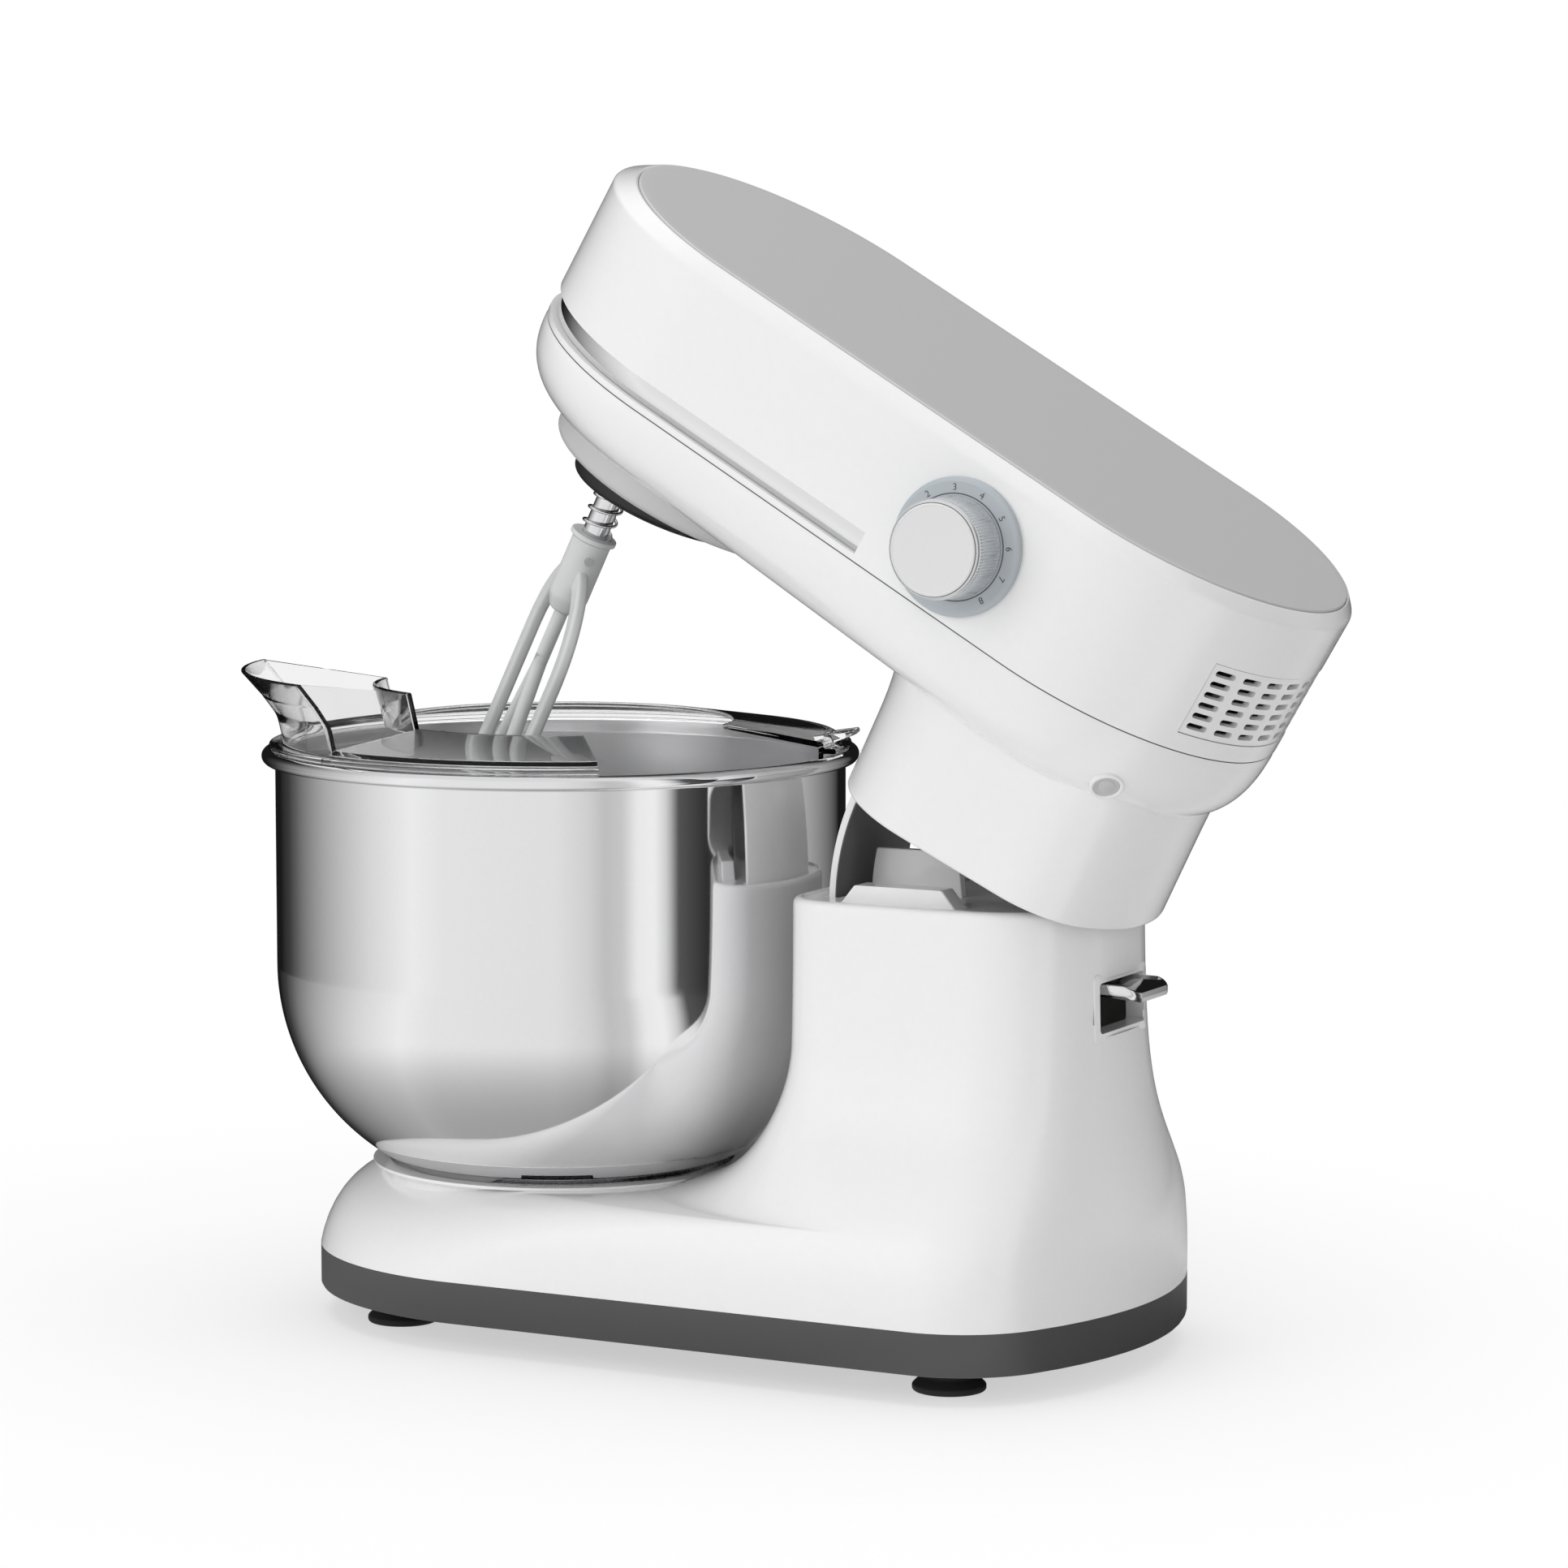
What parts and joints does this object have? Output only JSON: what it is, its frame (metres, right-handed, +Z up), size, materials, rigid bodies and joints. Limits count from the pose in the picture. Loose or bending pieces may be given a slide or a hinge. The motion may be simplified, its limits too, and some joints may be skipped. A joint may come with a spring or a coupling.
{
  "type": "stand mixer",
  "caption": "Tilt-head stand mixer: planetary gears turn a flat beater over a twist-lock steel bowl with a splash lid; belt-driven motor, speed knob, lock lever.",
  "frame": {"origin": "on the table, under the axis of the bowl", "axes": "+Z up along the bowl's axis, +X to the rear along the head, -Y to the side with the speed knob"},
  "size_m": [0.4426, 0.232, 0.4465],
  "materials": {
    "white_shell": "glossy moulded white plastic",
    "grey_panel": "satin grey",
    "dark_band": "matte dark grey plastic",
    "rubber_foot": "matte black rubber",
    "chrome_trim": "polished chrome",
    "bowl_steel": "polished outside, brushed inside",
    "lid_clear": "clear smoky plastic",
    "beater_coat": "grey-white coated cast metal",
    "grey_plastic": "light grey plastic",
    "black_plastic": "black plastic",
    "dial_blue": "pale blue-grey printed disc",
    "knob_white": "glossy white plastic",
    "knob_metal": "spun metal disc",
    "steel": "turned steel",
    "spring_steel": "bright spring wire",
    "aluminium": "die-cast aluminium",
    "gear_nylon": "natural nylon",
    "iron": "laminated iron",
    "copper": "copper bars",
    "belt_rubber": "black belt rubber",
    "board_green": "green board"
  },
  "bodies": {
    "base": {"base_shell": "white_shell", "base_tray": "dark_band", "bowl_seat": "white_shell", "column_deck": "white_shell", "cord_gland": "black_plastic", "foot_front_far": "rubber_foot", "foot_front_near": "rubber_foot", "foot_rear_far": "rubber_foot", "foot_rear_near": "rubber_foot", "hinge_bracket": "steel", "hinge_pin": "steel", "lever_pin": "steel", "lever_spring": "spring_steel", "tray_screws": "steel"},
    "head": {"bearings": "steel", "brush_holders": "black_plastic", "control_board": "board_green", "dial_ring": "dial_blue", "drive_belt": "belt_rubber", "gearbox_plate": "aluminium", "gearbox_screws": "steel", "hinge_arm": "aluminium", "lower_cover": "white_shell", "motor_stator": "iron", "neck_shroud": "white_shell", "planetary_housing": "grey_plastic", "ring_gear": "aluminium", "speed_switch": "black_plastic", "top_panel": "grey_panel", "trim_strip": "chrome_trim", "upper_cover": "white_shell", "vent_grille": "white_shell"},
    "planetary": {"main_gear": "gear_nylon", "main_shaft": "steel", "planet_carrier": "black_plastic"},
    "beater": {"beater_shaft": "steel", "beater_spring": "spring_steel", "cross_pin": "steel", "flat_beater": "beater_coat", "planet_pinion": "steel"},
    "idler": {"idler_pinion": "steel", "idler_pulley": "aluminium", "idler_shaft": "steel"},
    "motor": {"armature": "iron", "commutator": "copper", "fan": "black_plastic", "motor_pulley": "aluminium", "motor_shaft": "steel"},
    "knob": {"knob": "knob_white", "knob_cap": "knob_metal", "knob_spindle": "steel"},
    "lever": {"lock_lever": "chrome_trim"},
    "bowl": {"bowl": "bowl_steel", "bowl_foot": "bowl_steel"},
    "lid": {"splash_lid": "lid_clear"}
  },
  "joints": [
    {"name": "head_tilt", "type": "hinge", "parent": "base", "child": "head", "pos_m": [0.226, 0, 0.172], "axis": [0, -1, 0], "range_deg": [0, 26]},
    {"name": "planetary_spin", "type": "hinge", "parent": "head", "child": "planetary", "pos_m": [0.04304, 0, 0.31242], "axis": [0.4384, 0, 0.8988], "continuous": true},
    {"name": "beater_spin", "type": "hinge", "parent": "planetary", "child": "beater", "pos_m": [0.02371, 0, 0.32184], "axis": [0.4384, 0, 0.8988], "continuous": true},
    {"name": "idler_spin", "type": "hinge", "parent": "head", "child": "idler", "pos_m": [0.11625, 0, 0.32566], "axis": [0.4384, 0, 0.8988], "continuous": true},
    {"name": "motor_spin", "type": "hinge", "parent": "head", "child": "motor", "pos_m": [0.21063, 0, 0.27963], "axis": [0.4384, 0, 0.8988], "continuous": true},
    {"name": "knob_turn", "type": "hinge", "parent": "head", "child": "knob", "pos_m": [0.20892, -0.083, 0.31052], "axis": [0, 1, 0], "range_deg": [-30, 210]},
    {"name": "lever_press", "type": "hinge", "parent": "base", "child": "lever", "pos_m": [0.215, 0, 0.145], "axis": [0, 1, 0], "range_deg": [0, 20], "stiffness_Nm_per_rad": 0.6, "springref_deg": -11.46},
    {"name": "bowl_twist", "type": "hinge", "parent": "base", "child": "bowl", "pos_m": [0, 0, 0.052], "axis": [0, 0, -1], "range_deg": [0, 32]},
    {"name": "lid_lift", "type": "slide", "parent": "bowl", "child": "lid", "axis": [0, 0, 1], "range_m": [0, 0.003]}
  ],
  "couplings": [
    {"joint": "beater_spin", "follows": "planetary_spin", "ratio": -3.5294},
    {"joint": "idler_spin", "follows": "planetary_spin", "ratio": -5},
    {"joint": "motor_spin", "follows": "planetary_spin", "ratio": -26.667}
  ]
}
